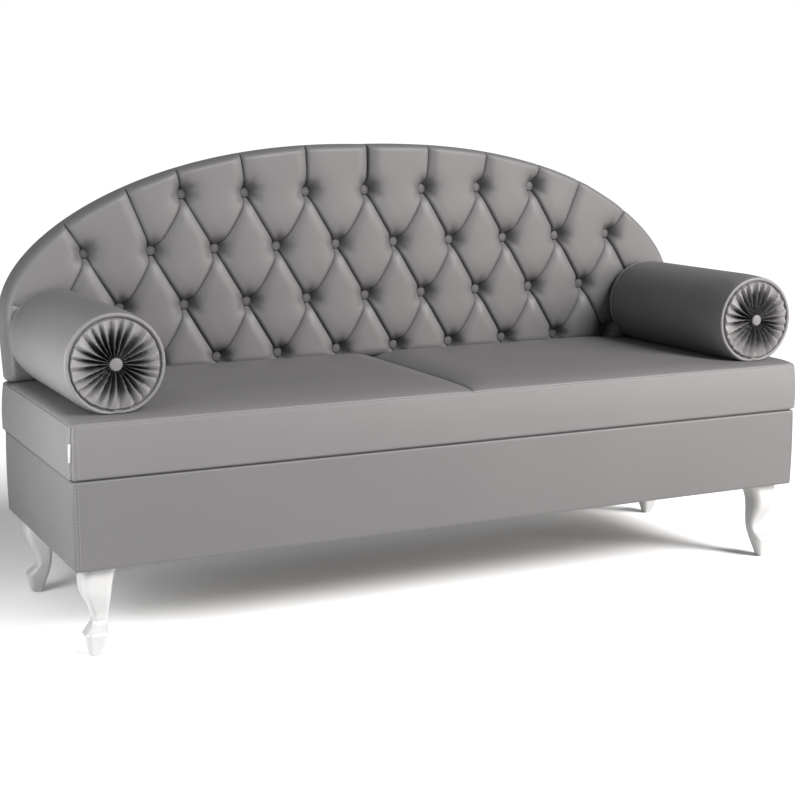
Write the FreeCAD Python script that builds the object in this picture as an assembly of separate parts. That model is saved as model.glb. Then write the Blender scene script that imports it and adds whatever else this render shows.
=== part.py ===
import FreeCAD, Part
import math
import os

# A waiting room sofa: an upholstered base on four cabriole legs, a boxed seat with two crowned top panels,
# an arched deep-buttoned back and two loose bolsters.
# Millimetres. +X is to the right seen from the front, +Y to the rear and +Z up.
# The origin is on the floor, under the middle of the whole sofa.

V = FreeCAD.Vector

# Base box
base_length = 1700.0
base_depth = 555.0
base_height = 173.0
rail_thickness = 18.0
base_cover = 2.0
base_padding = 5.0
dust_cloth = 1.0
dust_cloth_inset = 15.0
corner_block_side = 90.0
corner_block_height = 40.0
cleat_length = 220.0
cleat_side = 40.0

# Cabriole legs, from the floor up: glide, sole, toe, instep, ankle, calf, knee, top
glide_thickness = 3.0
glide_radius = 8.0
toe_rise = 41.0
instep_rise = 11.0
ankle_rise = 12.0
calf_rise = 39.0
knee_rise = 39.0
top_rise = 35.0
foot_inset = 43.0
sole_reach = 13.5
toe_reach = 27.5
instep_reach = 22.5
ankle_reach = 18.0
calf_reach = 27.0
knee_reach = 36.5
top_reach = 43.0
toe_set_back = 3.0
instep_set_back = 11.5
ankle_set_back = 19.5
calf_set_back = 13.5
knee_set_back = 7.5
top_set_back = 20.0
leg_roundness = 0.5

# Leg studs and nuts
stud_radius = 4.0
stud_in_leg = 35.0
stud_past_nut = 3.0
nut_reach = 7.5
nut_height = 7.0

# Seat
seat_overhang = 2.0
border_height = 104.0
border_thickness = 8.0
border_bulge = 5.0
corner_bulge = 0.5
top_panel = 4.0
seat_crown = 18.0
seam_dip = 8.0
edge_crown = 0.6
inner_crown_place = 230.0
outer_crown_place = 230.0
seat_rail_width = 60.0
seat_rail_height = 30.0
strap_width = 60.0
strap_thickness = 2.0
straps_per_half = 5
tag_height = 33.0
tag_reach = 5.0
tag_thickness = 1.0
tag_drop = 34.0
seat_bolt_bite = 22.0

# Arched back: depths are measured forward from the front face of the board
back_overhang = 3.0
board_thickness = 18.0
board_inset = 10.0
apron_inset = 60.0
apron_rise = 15.0
back_padding = 6.0
rear_cover = 2.0
rear_cover_inset = 3.0
arch_rise = 351.0
top_margin = 105.0
side_margin = 109.0
bottom_row_rise = 20.0
crease_depth = 14.0
crown_depth = 54.0
pleat_depth = 40.0
rim_depth = 16.0
bottom_pleat_depth = 30.0
bottom_crown_depth = 48.0
row_counts = (7, 10, 11, 10)
lobe_fullness = 0.42

# Back buttons, each tied by twine to the board
button_radius = 11.0
button_sink = 1.0
button_edge = 5.0
button_dome = 4.0
twine_radius = 1.2

# Bolts and T-nuts that hold the back and the seat
bolt_radius = 4.0
bolt_head_radius = 10.0
bolt_head_height = 4.0
lower_bolt_rise = 42.0
upper_bolt_drop = 28.0
tnut_flange_radius = 12.0
tnut_flange = 1.5
tnut_barrel_radius = 5.5
tnut_barrel = 12.0
bolt_past_tnut = 3.0

# Bolsters
bolster_radius = 95.0
bolster_cover = 6.0
left_bolster_inset = 102.0
right_bolster_inset = 93.0
bolster_front_inset = 32.0
bolster_sag = 2.0
piping_radius = 3.5
end_middle_radius = 55.0
end_pleats = 26
end_ridge = 10.0
end_valley = 6.0
end_middle_ridge = 13.0
end_middle_valley = 8.0
end_centre = 5.0
end_button_radius = 14.0
end_button_edge = 4.0
end_button_dome = 4.0

# Clearances
soft_clearance = 0.3
hole_clearance = 0.25
bolster_back_gap = 4.0

# Levels and planes worked out from the sizes above
leg_height = glide_thickness + toe_rise + instep_rise + ankle_rise + calf_rise + knee_rise + top_rise
base_bottom = leg_height + dust_cloth
base_top = base_bottom + base_height
border_top = base_top + border_height
seam_level = border_top + top_panel
front_reach = seat_overhang + border_bulge
rear_reach = board_thickness + rear_cover + bolt_head_height
base_front = -(base_depth + rear_reach - front_reach) / 2
base_rear = base_front + base_depth
base_half = base_length / 2
seat_half = base_half + seat_overhang
seat_front = base_front - seat_overhang
seat_rear = base_rear
board_front = base_rear
board_rear = board_front + board_thickness
arch_half = base_half + back_overhang
wrap = base_padding + base_cover
frame_half = base_half - wrap
frame_front = base_front + wrap
frame_rear = base_rear - base_cover
inner_half = frame_half - rail_thickness
inner_front = frame_front + rail_thickness
inner_rear = frame_rear - rail_thickness
rib_place = base_length / 6
bay_middle = (rib_place + rail_thickness / 2 + inner_half) / 2


def box(x0, x1, y0, y1, z0, z1):
    """A block between two opposite corners."""
    return Part.makeBox(x1 - x0, y1 - y0, z1 - z0, V(x0, y0, z0))


def rod(radius, start, end):
    """A round rod from one point to another."""
    return Part.makeCylinder(radius, (end - start).Length, start, end - start)


def group(solids):
    """Separate solids that share one node."""
    return Part.makeCompound(solids)


def line_edge(start, end):
    """A straight edge."""
    return Part.LineSegment(start, end).toShape()


def arc_edge(start, middle, end):
    """An arc of under a half circle through three points."""
    return Part.Arc(start, middle, end).toShape()


def outline_of(edges):
    """A wire through edges that are listed in order."""
    return Part.Wire(edges)


def highest(shapes, x0, x1, y0, y1):
    """The highest point of some shapes inside a plan rectangle."""
    column = box(x0, x1, y0, y1, base_top, seam_level + 10 * seat_crown)
    found = [shape.common(column).optimalBoundingBox(False, False).ZMax for shape in shapes]
    return max(found)


def export(name, shape):
    """Write one named piece."""
    shape.exportStep("parts/" + name + ".step")


# Base
def leg_corner(side, end):
    """Where a leg's stud stands: side is -1 left or 1 right, end is -1 front or 1 rear."""
    set_in = foot_inset + knee_set_back / math.sqrt(2)
    y = base_front + set_in if end < 0 else base_rear - set_in
    return V(side * (base_half - set_in), y, leg_height)


corners = {
    "front_left": (-1, -1),
    "front_right": (1, -1),
    "rear_left": (-1, 1),
    "rear_right": (1, 1),
}
stud_places = [leg_corner(side, end) for side, end in corners.values()]
bolt_columns = (-bay_middle, -rib_place / 2, rib_place / 2, bay_middle)
bolt_rows = (base_bottom + lower_bolt_rise, base_top - cleat_side - upper_bolt_drop)
back_bolt_places = [(x, z) for z in bolt_rows for x in bolt_columns]
cleat_y = {-1: inner_front + cleat_side / 2, 1: inner_rear - cleat_side / 2}
seat_bolt_places = [(side * bay_middle, cleat_y[end]) for side, end in corners.values()]


def cross_holes(radius, y0, y1):
    """Front-to-back holes at the back bolts."""
    return group([rod(radius, V(x, y0, z), V(x, y1, z)) for x, z in back_bolt_places])


def stud_holes(z0, z1):
    """Upright holes at the leg studs."""
    radius = stud_radius + hole_clearance
    return group([rod(radius, V(p.x, p.y, z0), V(p.x, p.y, z1)) for p in stud_places])


def seat_bolt_holes(z0, z1):
    """Upright holes at the seat bolts."""
    radius = bolt_radius + hole_clearance
    return group([rod(radius, V(x, y, z0), V(x, y, z1)) for x, y in seat_bolt_places])


def make_base():
    """The box of rails, its ribs, blocks and cleats, and its padding and covers."""
    front = box(-frame_half, frame_half, frame_front, inner_front, base_bottom, base_top)
    rear = box(-frame_half, frame_half, inner_rear, frame_rear, base_bottom, base_top)
    rear = rear.cut(cross_holes(tnut_barrel_radius + hole_clearance, inner_rear, frame_rear))
    export("base_front_rail", front)
    export("base_rear_rail", rear)
    for name, side in (("left", -1), ("right", 1)):
        x0, x1 = sorted((side * inner_half, side * frame_half))
        export("base_%s_rail" % name, box(x0, x1, inner_front, inner_rear, base_bottom, base_top))
        x0, x1 = sorted((side * frame_half, side * (frame_half + base_padding)))
        padding = box(x0, x1, frame_front - base_padding, frame_rear, base_bottom, base_top)
        export("base_%s_padding" % name, padding)
        x0, x1 = sorted((side * (base_half - base_cover), side * base_half))
        y0 = base_front + base_cover
        export("base_%s_cover" % name, box(x0, x1, y0, frame_rear, base_bottom, base_top))
    y0 = frame_front - base_padding
    export("base_front_padding", box(-frame_half, frame_half, y0, frame_front, base_bottom, base_top))
    y1 = base_front + base_cover
    export("base_front_cover", box(-base_half, base_half, base_front, y1, base_bottom, base_top))
    cover = box(-base_half, base_half, frame_rear, base_rear, base_bottom, base_top)
    cover = cover.cut(cross_holes(bolt_radius + hole_clearance, frame_rear, base_rear))
    export("base_rear_cover", cover)
    ribs = []
    for place in (-rib_place, rib_place):
        x0, x1 = place - rail_thickness / 2, place + rail_thickness / 2
        ribs.append(box(x0, x1, inner_front, inner_rear, base_bottom, base_top))
    export("base_ribs", group(ribs))
    blocks = []
    cleats = []
    for side, end in corners.values():
        x0, x1 = sorted((side * inner_half, side * (inner_half - corner_block_side)))
        wall = inner_front if end < 0 else inner_rear
        y0, y1 = sorted((wall, wall - end * corner_block_side))
        block = box(x0, x1, y0, y1, base_bottom, base_bottom + corner_block_height)
        blocks.append(block.cut(stud_holes(base_bottom, base_bottom + corner_block_height)))
        x0, x1 = side * bay_middle - cleat_length / 2, side * bay_middle + cleat_length / 2
        y0, y1 = sorted((wall, wall - end * cleat_side))
        cleat = box(x0, x1, y0, y1, base_top - cleat_side, base_top)
        cleats.append(cleat.cut(seat_bolt_holes(base_top - cleat_side, base_top)))
    export("base_corner_blocks", group(blocks))
    export("base_seat_cleats", group(cleats))
    x1, y0, y1 = base_half - dust_cloth_inset, base_front + dust_cloth_inset, base_rear - dust_cloth_inset
    cloth = box(-x1, x1, y0, y1, leg_height, base_bottom)
    export("base_dust_cloth", cloth.cut(stud_holes(leg_height, base_bottom)))


# Legs
def rounded_square(centre, reach):
    """A square with round corners, whose corners reach that far from its centre."""
    half = reach / (math.sqrt(2) - leg_roundness * (math.sqrt(2) - 1))
    radius = leg_roundness * half
    flat = half - radius
    bend = flat + radius / math.sqrt(2)
    edges = []
    for turn in range(4):
        spin = FreeCAD.Rotation(V(0, 0, 1), 90 * turn)
        points = [V(half, -flat, 0), V(half, flat, 0), V(bend, bend, 0), V(flat, half, 0)]
        a, b, m, c = [centre + spin.multVec(p) for p in points]
        edges.append(line_edge(a, b))
        edges.append(arc_edge(b, m, c))
    return outline_of(edges)


def make_legs():
    """Four cabriole legs with their studs, nuts and glides."""
    toe = glide_thickness + toe_rise
    instep = toe + instep_rise
    ankle = instep + ankle_rise
    calf = ankle + calf_rise
    knee = calf + knee_rise
    stations = (
        (glide_thickness, 0.0, sole_reach),
        (toe, toe_set_back, toe_reach),
        (instep, instep_set_back, instep_reach),
        (ankle, ankle_set_back, ankle_reach),
        (calf, calf_set_back, calf_reach),
        (knee, knee_set_back, knee_reach),
        (leg_height, top_set_back, top_reach),
    )
    studs, nuts, glides = [], [], []
    nut_base = base_bottom + corner_block_height
    for name, (side, end) in corners.items():
        top = leg_corner(side, end)
        outward = V(side, end, 0).normalize()
        sole = top + outward * knee_set_back
        sections = []
        for level, set_back, reach in stations:
            middle = sole - outward * set_back
            sections.append(rounded_square(V(middle.x, middle.y, level), reach))
        foot = Part.makeLoft(sections[:2], True, True)
        shank = Part.makeLoft(sections[1:], True, False, False, 3)
        leg = foot.fuse(shank)
        leg = leg.cut(stud_holes(leg_height - stud_in_leg, leg_height))
        export(name + "_leg", leg)
        stud_top = nut_base + nut_height + stud_past_nut
        studs.append(rod(stud_radius, V(top.x, top.y, leg_height - stud_in_leg), V(top.x, top.y, stud_top)))
        ring = [V(nut_reach, 0, 0)] * 7
        ring = [FreeCAD.Rotation(V(0, 0, 1), 60 * i).multVec(p) for i, p in enumerate(ring)]
        ring = [V(top.x, top.y, nut_base) + p for p in ring]
        nut = Part.Face(Part.makePolygon(ring)).extrude(V(0, 0, nut_height))
        nuts.append(nut.cut(stud_holes(nut_base, nut_base + nut_height)))
        glides.append(rod(glide_radius, V(sole.x, sole.y, 0), V(sole.x, sole.y, glide_thickness)))
    export("leg_studs", group(studs))
    export("leg_nuts", group(nuts))
    export("leg_glides", group(glides))


# Seat
def crowned_section(x, y0, y1, low, high, crown, floor=None):
    """A slice across the seat: a top arc over a parallel lower arc, or over a flat floor."""
    middle = (y0 + y1) / 2
    top = arc_edge(V(x, y0, high), V(x, middle, high + crown), V(x, y1, high))
    if floor is None:
        under = arc_edge(V(x, y1, low), V(x, middle, low + crown), V(x, y0, low))
    else:
        low = floor
        under = line_edge(V(x, y1, low), V(x, y0, low))
    rear = line_edge(V(x, y1, high), V(x, y1, low))
    front = line_edge(V(x, y0, low), V(x, y0, high))
    return outline_of([top, rear, under, front])


def make_seat():
    """Seat frame, webbing, foam, top panels and borders. Gives the two top panels."""
    rail_top = base_top + seat_rail_height
    strap_top = rail_top + strap_thickness
    inside_front, inside_rear = seat_front + border_thickness, seat_rear - border_thickness
    inside_half = seat_half - border_thickness
    y0, y1 = inside_front + seat_rail_width, inside_rear - seat_rail_width
    rails = {
        "front": box(-inside_half, inside_half, inside_front, y0, base_top, rail_top),
        "rear": box(-inside_half, inside_half, y1, inside_rear, base_top, rail_top),
    }
    holes = seat_bolt_holes(base_top, base_top + seat_bolt_bite)
    for name, rail in rails.items():
        export("seat_%s_rail" % name, rail.cut(holes))
    end_rail = inside_half - seat_rail_width
    export("seat_left_rail", box(-inside_half, -end_rail, y0, y1, base_top, rail_top))
    export("seat_right_rail", box(end_rail, inside_half, y0, y1, base_top, rail_top))
    export("seat_centre_rail", box(-seat_rail_width / 2, seat_rail_width / 2, y0, y1, base_top, rail_top))

    straps = []
    bay = (end_rail - seat_rail_width / 2) / straps_per_half
    for side in (-1, 1):
        for i in range(straps_per_half):
            x = side * (seat_rail_width / 2 + bay * (i + 0.5))
            x0, x1 = x - strap_width / 2, x + strap_width / 2
            straps.append(box(x0, x1, inside_front, inside_rear, rail_top, strap_top))
    export("seat_webbing", group(straps))

    panels = []
    for name, side in (("left", -1), ("right", 1)):
        stations = (
            (0.0, seam_dip),
            (inner_crown_place, seat_crown),
            (seat_half - outer_crown_place, seat_crown),
            (seat_half, edge_crown),
        )
        sections = []
        for x, crown in stations:
            sections.append(crowned_section(side * x, seat_front, seat_rear, border_top, seam_level, crown))
        panel = Part.makeLoft(sections, True, False)
        panels.append(panel)
        export("seat_%s_top" % name, panel)
        foam_top = border_top - 2 * soft_clearance
        sections = []
        for x, crown in stations[:-1] + ((inside_half, edge_crown),):
            section = crowned_section(side * x, inside_front, inside_rear, 0, foam_top, crown, strap_top)
            sections.append(section)
        export("seat_%s_foam" % name, Part.makeLoft(sections, True, False))

    middle_z = (base_top + border_top) / 2

    def border_section(place, inward, bulge):
        """A slice of a border: flat inside, arched outside."""
        low, high = V(place.x, place.y, base_top), V(place.x, place.y, border_top)
        out = V(place.x, place.y, middle_z) - inward * bulge
        back = inward * border_thickness
        arched = arc_edge(low, out, high)
        inner = line_edge(high + back, low + back)
        return outline_of([arched, line_edge(high, high + back), inner, line_edge(low + back, low)])

    runs = {
        "front": (V(-seat_half, seat_front, 0), V(seat_half, seat_front, 0), V(0, 1, 0)),
        "left": (V(-seat_half, inside_front, 0), V(-seat_half, inside_rear, 0), V(1, 0, 0)),
        "right": (V(seat_half, inside_front, 0), V(seat_half, inside_rear, 0), V(-1, 0, 0)),
    }
    for name, (start, end, inward) in runs.items():
        places = ((start, corner_bulge), ((start + end) * 0.5, border_bulge), (end, corner_bulge))
        sections = [border_section(place, inward, bulge) for place, bulge in places]
        export("seat_%s_border" % name, Part.makeLoft(sections, True, False))
    export("seat_rear_border", box(-seat_half, seat_half, inside_rear, seat_rear, base_top, border_top))

    tag_top = seam_level - tag_drop
    y0 = seat_front + border_thickness / 2
    x0 = -seat_half - tag_reach
    tag = box(x0, -seat_half, y0, y0 + tag_thickness, tag_top - tag_height, tag_top)
    export("seat_tag", tag)

    bolts = []
    head_top = base_top - cleat_side
    for x, y in seat_bolt_places:
        head = rod(bolt_head_radius, V(x, y, head_top - bolt_head_height), V(x, y, head_top))
        bolts.append(head.fuse(rod(bolt_radius, V(x, y, head_top), V(x, y, base_top + seat_bolt_bite))))
    export("seat_bolts", group(bolts))
    return panels


# Back
def make_back(panels):
    """Board, padding, buttoned cover, buttons, rear cover and bolts. Gives the front of the pillows."""
    pillow_front = board_front - crown_depth
    pad_bottom = highest(panels, -arch_half, arch_half, pillow_front, board_front) + soft_clearance
    row_pitch = (arch_rise - top_margin) / 2
    spring = pad_bottom + bottom_row_rise + row_pitch
    column_step = (arch_half - side_margin) / (max(row_counts) - 1)
    bottom_row = len(row_counts) - 1

    def at(x, z, depth):
        """A point of the back, that far in front of the board."""
        return V(x, board_front - depth, z)

    def arch_point(angle, depth=rim_depth, inset=0.0):
        """A point of the arch: half an ellipse above the spring line."""
        x = (arch_half - inset) * math.cos(angle)
        return at(x, spring + (arch_rise - inset) * math.sin(angle), depth)

    def nearest_angle(x, z):
        """The angle of the arch's point that is nearest to a place inside it, by halving."""
        low, high = (0.0, math.pi / 2) if x >= 0 else (math.pi / 2, math.pi)
        for _ in range(50):
            angle = (low + high) / 2
            point = arch_point(angle)
            slope = V(-arch_half * math.sin(angle), 0, arch_rise * math.cos(angle))
            if (point - at(x, z, rim_depth)).dot(slope) < 0:
                low = angle
            else:
                high = angle
        return (low + high) / 2

    # A button is named by its row and by its column, counted in half steps from the middle
    buttons = {}
    for row, count in enumerate(row_counts):
        level = spring + row_pitch * (bottom_row - 1 - row)
        for i in range(count):
            column = 2 * i - (count - 1)
            buttons[row, column] = at(column * column_step, level, crease_depth)

    def deepened(start, end, depth):
        """An arc from one point to another whose middle stands that far in front of the board."""
        middle = (start + end) * 0.5
        spread = V(end.x - start.x, 0, end.z - start.z).Length
        limit = board_front - middle.y + lobe_fullness * spread
        return arc_edge(start, at(middle.x, middle.z, min(depth, limit)), end)

    faces = []
    # One pillow between every four buttons: a loft from one crease over the crown to the other crease
    for row in range(1, bottom_row):
        for column in range(-2 * max(row_counts), 2 * max(row_counts) + 1):
            around = ((row - 1, column), (row, column + 1), (row + 1, column), (row, column - 1))
            if all(key in buttons for key in around):
                north, east, south, west = [buttons[key] for key in around]
                middle = (north + south) * 0.5
                crown = at(middle.x, middle.z, crown_depth)
                ridge = arc_edge((north + west) * 0.5, crown, (east + south) * 0.5)
                slices = (line_edge(north, east), ridge, line_edge(west, south))
                faces += Part.makeLoft([outline_of([s]) for s in slices], False, False).Faces

    # The pillows round the border run from the outer buttons to the rim
    first_column = [1 - count for count in row_counts]
    left_up = [(row, first_column[row]) for row in range(bottom_row, 0, -1)]
    left_up.append((1, first_column[1] + 2))
    top_row = [(0, first_column[0] + 2 * i) for i in range(row_counts[0])]
    right_down = [(row, -column) for row, column in reversed(left_up)]
    last_row = [(bottom_row, -first_column[bottom_row] - 2 * i) for i in range(row_counts[bottom_row])]

    def rim_place(key):
        """Where a border button's pleat meets the rim, and its angle on the arch."""
        button = buttons[key]
        if key[0] == bottom_row:
            return at(button.x, pad_bottom, bottom_pleat_depth), None
        angle = nearest_angle(button.x, button.z)
        return arch_point(angle), angle

    arch_edges, bottom_edges = [], []

    def border_pillow(key_a, key_b):
        """Two lofts that meet on a ridge, from the pleat of one border button to that of the next."""
        a, b = buttons[key_a], buttons[key_b]
        (rim_a, angle_a), (rim_b, angle_b) = rim_place(key_a), rim_place(key_b)
        inner = (a + b) * 0.5
        if key_a[0] == key_b[0]:
            inward = -1 if key_a[0] == bottom_row else 1
            inner = buttons[key_a[0] + inward, (key_a[1] + key_b[1]) // 2]
        arched = angle_a is not None and angle_b is not None
        if arched:
            ridge_angle = (angle_a + angle_b) / 2
            rim_middle = arch_point(ridge_angle)
        elif angle_a is None and angle_b is None:
            rim_middle = at((a.x + b.x) / 2, pad_bottom, bottom_crown_depth)
        else:
            rim_middle = at(math.copysign(arch_half, a.x), pad_bottom, rim_depth)
        ridge = deepened(inner, rim_middle, crown_depth)
        for button, rim, angle in ((a, rim_a, angle_a), (b, rim_b, angle_b)):
            half_way = arch_point((angle + ridge_angle) / 2) if arched else (rim + rim_middle) * 0.5
            pleat = deepened(button, rim, pleat_depth)
            side = deepened((button + inner) * 0.5, half_way, (pleat_depth + 3 * crown_depth) / 4)
            face = Part.makeLoft([outline_of([e]) for e in (pleat, side, ridge)], False, False).Faces[0]
            faces.append(face)
            ends = (rim, rim_middle)
            for edge in face.Edges:
                corners_met = [min((v.Point - p).Length for p in ends) for v in edge.Vertexes]
                if max(corners_met) < soft_clearance:
                    flat = angle is None
                    (bottom_edges if flat else arch_edges).append(edge)

    border = left_up + top_row + right_down
    for key_a, key_b in zip(border + last_row[1:], border[1:] + last_row[1:]):
        if key_a != key_b:
            border_pillow(key_a, key_b)

    # The rim goes straight back round the board's edge
    back_step = V(0, board_rear - (board_front - rim_depth), 0)
    rear_edges = []
    for edge in arch_edges:
        faces.append(edge.extrude(back_step))
        rear_edges.append(edge.translated(back_step))
    left, right = at(-arch_half, pad_bottom, rim_depth), at(arch_half, pad_bottom, rim_depth)
    closing = line_edge(left + back_step, right + back_step)
    sides = [line_edge(left, left + back_step), line_edge(right, right + back_step)]
    faces.append(Part.Face(outline_of(Part.__sortEdges__(rear_edges + [closing]))))
    faces.append(Part.Face(outline_of(Part.__sortEdges__(bottom_edges + sides + [closing]))))
    skin = Part.makeCompound(faces)
    skin.sewShape()
    cover = Part.Solid(skin.Shells[0])
    print("buttoned cover closed:", skin.Shells[0].isClosed(), "faces:", len(faces))

    def arch_plate(inset, low, y0, y1, half_low=None, apron_low=None):
        """A plate with the arch's outline, set in all round, with a narrower apron where one is given."""
        half, rise = arch_half - inset, arch_rise - inset
        top = Part.Ellipse(V(half, y0, spring), V(0, y0, spring + rise), V(0, y0, spring))
        if rise > half:
            top = Part.Ellipse(V(0, y0, spring + rise), V(-half, y0, spring), V(0, y0, spring))
        start = 0.0 if rise <= half else -math.pi / 2
        arch = Part.ArcOfEllipse(top, start, start + math.pi).toShape()
        points = [V(-half, y0, spring), V(-half, y0, low)]
        if apron_low is not None:
            points += [V(-half_low, y0, low), V(-half_low, y0, apron_low)]
            points += [V(half_low, y0, apron_low), V(half_low, y0, low)]
        points += [V(half, y0, low), V(half, y0, spring)]
        edges = [arch] + [line_edge(p, q) for p, q in zip(points, points[1:])]
        plate = Part.Face(outline_of(Part.__sortEdges__(edges))).extrude(V(0, y1 - y0, 0))
        return plate

    def twine_rods(radius, depth, y1):
        """Straight rods behind the buttons, from that depth to a plane behind."""
        places = [(place.x, place.z) for place in buttons.values()]
        return group([rod(radius, at(x, z, depth), V(x, y1, z)) for x, z in places])

    apron_half = base_half - apron_inset
    apron_low = base_bottom + apron_rise
    bolt_hole = bolt_radius + hole_clearance
    twine_hole = twine_radius + hole_clearance
    seat_depth = crease_depth - button_sink
    padding_front = board_front - back_padding
    twine_holes = twine_rods(twine_hole, seat_depth, board_rear)
    board = arch_plate(board_inset, pad_bottom, board_front, board_rear, apron_half, apron_low)
    board = board.cut(cross_holes(bolt_hole, board_front, board_rear))
    export("back_board", board.cut(twine_holes))
    padding = arch_plate(board_inset, pad_bottom, padding_front, board_front)
    export("back_padding", padding.cut(twine_holes))
    # The cover is hollowed behind for the board, and each button sits in a round pit at its tuft
    recess_low = pad_bottom - 2 * crown_depth
    recess = arch_plate(board_inset - soft_clearance, recess_low, padding_front, board_rear + board_thickness)
    pit_radius = button_radius + soft_clearance
    pits = []
    for place in buttons.values():
        pits.append(rod(pit_radius, at(place.x, place.z, seat_depth), at(place.x, place.z, 2 * crown_depth)))
    cover = cover.cut(recess).cut(group(pits))
    export("back_buttoned_cover", cover.cut(twine_rods(twine_hole, seat_depth, board_front)))
    rear_face = board_rear + rear_cover
    rear = arch_plate(rear_cover_inset, pad_bottom, board_rear, rear_face, apron_half, apron_low)
    export("back_rear_cover", rear.cut(cross_holes(bolt_hole, board_rear, rear_face)))

    for row in range(len(row_counts)):
        made = []
        for (button_row, _), place in buttons.items():
            if button_row == row:
                seat = place + V(0, button_sink, 0)
                made.append(domed_button(button_radius, button_edge, button_dome, seat, V(0, -1, 0)))
        export("back_buttons_row_%d" % (row + 1), group(made))
    export("back_button_twines", twine_rods(twine_radius, seat_depth, board_rear))

    bolts, nuts = [], []
    head_at = rear_face
    tip_at = inner_rear - tnut_flange - bolt_past_tnut
    for x, z in back_bolt_places:
        head = rod(bolt_head_radius, V(x, head_at, z), V(x, head_at + bolt_head_height, z))
        bolts.append(head.fuse(rod(bolt_radius, V(x, tip_at, z), V(x, head_at, z))))
        flange = rod(tnut_flange_radius, V(x, inner_rear - tnut_flange, z), V(x, inner_rear, z))
        barrel = rod(tnut_barrel_radius, V(x, inner_rear, z), V(x, inner_rear + tnut_barrel, z))
        bore = rod(bolt_hole, V(x, inner_rear - tnut_flange, z), V(x, inner_rear + tnut_barrel, z))
        nuts.append(flange.fuse(barrel).cut(bore))
    export("back_bolts", group(bolts))
    export("back_t_nuts", group(nuts))
    return pillow_front


def turned(profile, place, axis):
    """A solid turned about an axis: the profile gives (radius, distance along the axis) corners and arcs."""
    face = Part.Face(outline_of(profile))
    solid = face.revolve(V(0, 0, 0), V(0, 0, 1), 360)
    solid.Placement = FreeCAD.Placement(place, FreeCAD.Rotation(V(0, 0, 1), axis))
    return solid


def domed_button(radius, edge, dome, place, axis):
    """A covered button: flat behind, with a straight edge and a front that is the cap of a ball."""
    low, edge_low, edge_high = V(0, 0, 0), V(radius, 0, 0), V(radius, 0, edge)
    top = V(0, 0, edge + dome)
    ball = (radius ** 2 + dome ** 2) / (2 * dome)
    half_angle = math.asin(radius / ball) / 2
    middle = V(ball * math.sin(half_angle), 0, top.z - ball + ball * math.cos(half_angle))
    profile = [line_edge(low, edge_low), line_edge(edge_low, edge_high), arc_edge(edge_high, middle, top)]
    return turned(profile + [line_edge(top, low)], place, axis)


# Bolsters
def make_bolsters(panels, pillow_front):
    """Two loose round bolsters that lie front to back on the seat."""
    end_reach = max(end_middle_ridge, end_centre + end_button_edge + end_button_dome)
    core_front = seat_front + bolster_front_inset + end_reach
    core_rear = pillow_front - bolster_back_gap - end_reach
    piping_width = 2 * piping_radius + soft_clearance
    axis_rise = bolster_radius - bolster_sag
    cover_flat = math.sqrt(bolster_radius ** 2 - axis_rise ** 2)
    piping_flat = math.sqrt((bolster_radius + piping_radius) ** 2 - axis_rise ** 2)
    footprints = (
        (cover_flat, core_front, core_rear),
        (piping_flat, core_front - piping_width, core_front),
        (piping_flat, core_rear, core_rear + piping_width),
    )
    for name, x in (("left", left_bolster_inset - seat_half), ("right", seat_half - right_bolster_inset)):
        under = [panels[0] if x < 0 else panels[1]]
        rest = max(highest(under, x - half, x + half, y0, y1) for half, y0, y1 in footprints)
        flat_level = rest + soft_clearance
        level = flat_level + axis_rise
        front, rear = V(x, core_front, level), V(x, core_rear, level)
        span = 2 * bolster_radius
        above = box(x - span, x + span, core_front - span, core_rear + span, flat_level, level + span)
        inner = bolster_radius - bolster_cover
        tube = rod(bolster_radius, front, rear).cut(rod(inner, front, rear))
        export(name + "_bolster_cover", tube.common(above))
        export(name + "_bolster_core", rod(inner - soft_clearance, front, rear))
        ends, rings, buttons = [], [], []
        for place, axis in ((front, V(0, -1, 0)), (rear, V(0, 1, 0))):
            ends.append(gathered_end(place, axis))
            ring_at = place + axis * (piping_radius + soft_clearance)
            ring = Part.makeTorus(bolster_radius, piping_radius, ring_at, axis)
            rings.append(ring.common(above))
            seat = place + axis * end_centre
            buttons.append(domed_button(end_button_radius, end_button_edge, end_button_dome, seat, axis))
        export(name + "_bolster_ends", group(ends))
        export(name + "_bolster_piping", group(rings))
        export(name + "_bolster_buttons", group(buttons))


def gathered_end(place, axis):
    """A round end drawn in to its middle by pleats: a ruled loft through rings that zigzag."""
    along = FreeCAD.Placement(place, FreeCAD.Rotation(V(0, 0, 1), axis))
    end_radius = bolster_radius - piping_radius - soft_clearance

    def ring(radius, ridge, valley):
        points = []
        for i in range(2 * end_pleats):
            angle = math.pi * i / end_pleats
            height = ridge if i % 2 == 0 else valley
            points.append(along.multVec(V(radius * math.cos(angle), radius * math.sin(angle), height)))
        return Part.makePolygon(points + points[:1])

    rings = [
        ring(end_radius, 0.0, 0.0),
        ring(end_radius, end_ridge, end_valley),
        ring(end_middle_radius, end_middle_ridge, end_middle_valley),
        ring(end_button_radius + soft_clearance, end_centre, end_centre),
    ]
    return Part.makeLoft(rings, True, True)


os.makedirs("parts", exist_ok=True)
make_base()
make_legs()
seat_panels = make_seat()
front_of_pillows = make_back(seat_panels)
make_bolsters(seat_panels, front_of_pillows)
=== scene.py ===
# %% [markdown]
# # Dressing a waiting room sofa
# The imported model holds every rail, bolt and foam block of the sofa at its real size.
# This lesson gives it its looks: grey artificial leather with deep buttoning, gathered bolster ends,
# sewn edges and white lacquered legs. Everything is in metres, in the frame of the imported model.

# %% Load the frame
import math

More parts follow.
